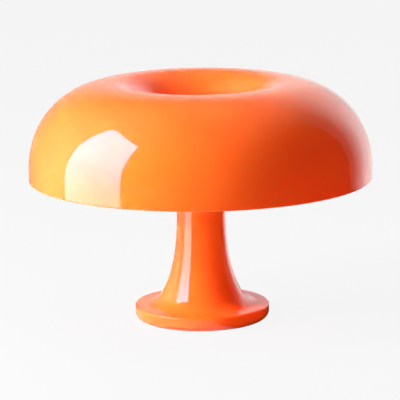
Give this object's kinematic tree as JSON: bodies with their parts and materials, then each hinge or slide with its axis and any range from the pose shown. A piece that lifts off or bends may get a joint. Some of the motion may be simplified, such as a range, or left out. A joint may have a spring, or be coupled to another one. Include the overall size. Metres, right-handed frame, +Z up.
{
  "type": "mushroom table lamp",
  "caption": "Table lamp with a domed mushroom shade sunk in the middle, on a trumpet stem with a flat round foot, and globe bulbs in radial holders under the shade.",
  "frame": {"origin": "on the table, under the middle of the lamp, at the underside of the felt pad", "axes": "+Z up along the stem, +Y towards the back where the cord leaves the foot, +X to the right seen from the front"},
  "size_m": [0.32, 0.32, 0.2245],
  "materials": {
    "orange_plastic": "high gloss moulded ABS, solid orange",
    "black_rubber": "matt",
    "cast_iron": "as cast",
    "black_plastic": "fine satin",
    "white_plastic": "satin",
    "steel": "zinc plated",
    "brass": "bright stamped",
    "nickel_plate": "nickel plated, bright",
    "solder": "dull solder",
    "felt": "pressed felt",
    "white_paint": "white stove enamel",
    "lead_insulation": "smooth insulation",
    "opal_glass": "opal, glossy",
    "black_glass": "fired black glass"
  },
  "bodies": {
    "base": {"body_shell": "orange_plastic", "ballast_weight": "cast_iron", "base_cover": "black_plastic", "cover_screws": "steel", "felt_pad": "felt", "tie_tube": "steel", "rod_nuts": "steel", "rod_washers": "steel", "cord_gland": "black_rubber", "terminal_block": "white_plastic", "terminal_screws": "brass", "block_screw": "steel", "holder_bracket": "white_paint", "nipple_nuts": "steel", "lead_1": "lead_insulation", "lead_2": "lead_insulation", "lead_3": "lead_insulation", "lead_4": "lead_insulation", "lampholder_1": "black_plastic", "lampholder_2": "black_plastic", "lampholder_3": "black_plastic", "lampholder_4": "black_plastic", "screw_shell_1": "brass", "screw_shell_2": "brass", "screw_shell_3": "brass", "screw_shell_4": "brass", "centre_contact_1": "brass", "centre_contact_2": "brass", "centre_contact_3": "brass", "centre_contact_4": "brass"},
    "shade": {"shade_dome": "orange_plastic", "shade_well": "orange_plastic"},
    "cap_washer": {"cap_washer": "black_rubber"},
    "shade_cap": {"shade_cap": "orange_plastic"},
    "bulb_1": {"bulb_globe_1": "opal_glass", "bulb_cap_1": "nickel_plate", "bulb_insulator_1": "black_glass", "bulb_tip_1": "solder"},
    "bulb_2": {"bulb_globe_2": "opal_glass", "bulb_cap_2": "nickel_plate", "bulb_insulator_2": "black_glass", "bulb_tip_2": "solder"},
    "bulb_3": {"bulb_globe_3": "opal_glass", "bulb_cap_3": "nickel_plate", "bulb_insulator_3": "black_glass", "bulb_tip_3": "solder"},
    "bulb_4": {"bulb_globe_4": "opal_glass", "bulb_cap_4": "nickel_plate", "bulb_insulator_4": "black_glass", "bulb_tip_4": "solder"}
  },
  "joints": [
    {"name": "shade_lift", "type": "slide", "parent": "base", "child": "shade", "axis": [0, 0, 1], "range_m": [0, 0.06]},
    {"name": "washer_rise", "type": "slide", "parent": "shade", "child": "cap_washer", "axis": [0, 0, 1], "range_m": [0, 0.004]},
    {"name": "cap_turn", "type": "hinge", "parent": "cap_washer", "child": "shade_cap", "pos_m": [0, 0, 0.158], "axis": [0, 0, 1], "range_deg": [0, 1440]},
    {"name": "bulb_1_out", "type": "slide", "parent": "base", "child": "bulb_1", "axis": [0.7071, 0.7071, 0], "range_m": [0, 0.026]},
    {"name": "bulb_2_out", "type": "slide", "parent": "base", "child": "bulb_2", "axis": [-0.7071, 0.7071, 0], "range_m": [0, 0.026]},
    {"name": "bulb_3_out", "type": "slide", "parent": "base", "child": "bulb_3", "axis": [-0.7071, -0.7071, 0], "range_m": [0, 0.026]},
    {"name": "bulb_4_out", "type": "slide", "parent": "base", "child": "bulb_4", "axis": [0.7071, -0.7071, 0], "range_m": [0, 0.026]}
  ],
  "couplings": [
    {"joint": "washer_rise", "follows": "cap_turn", "m_per_rad": 0.00015915}
  ]
}
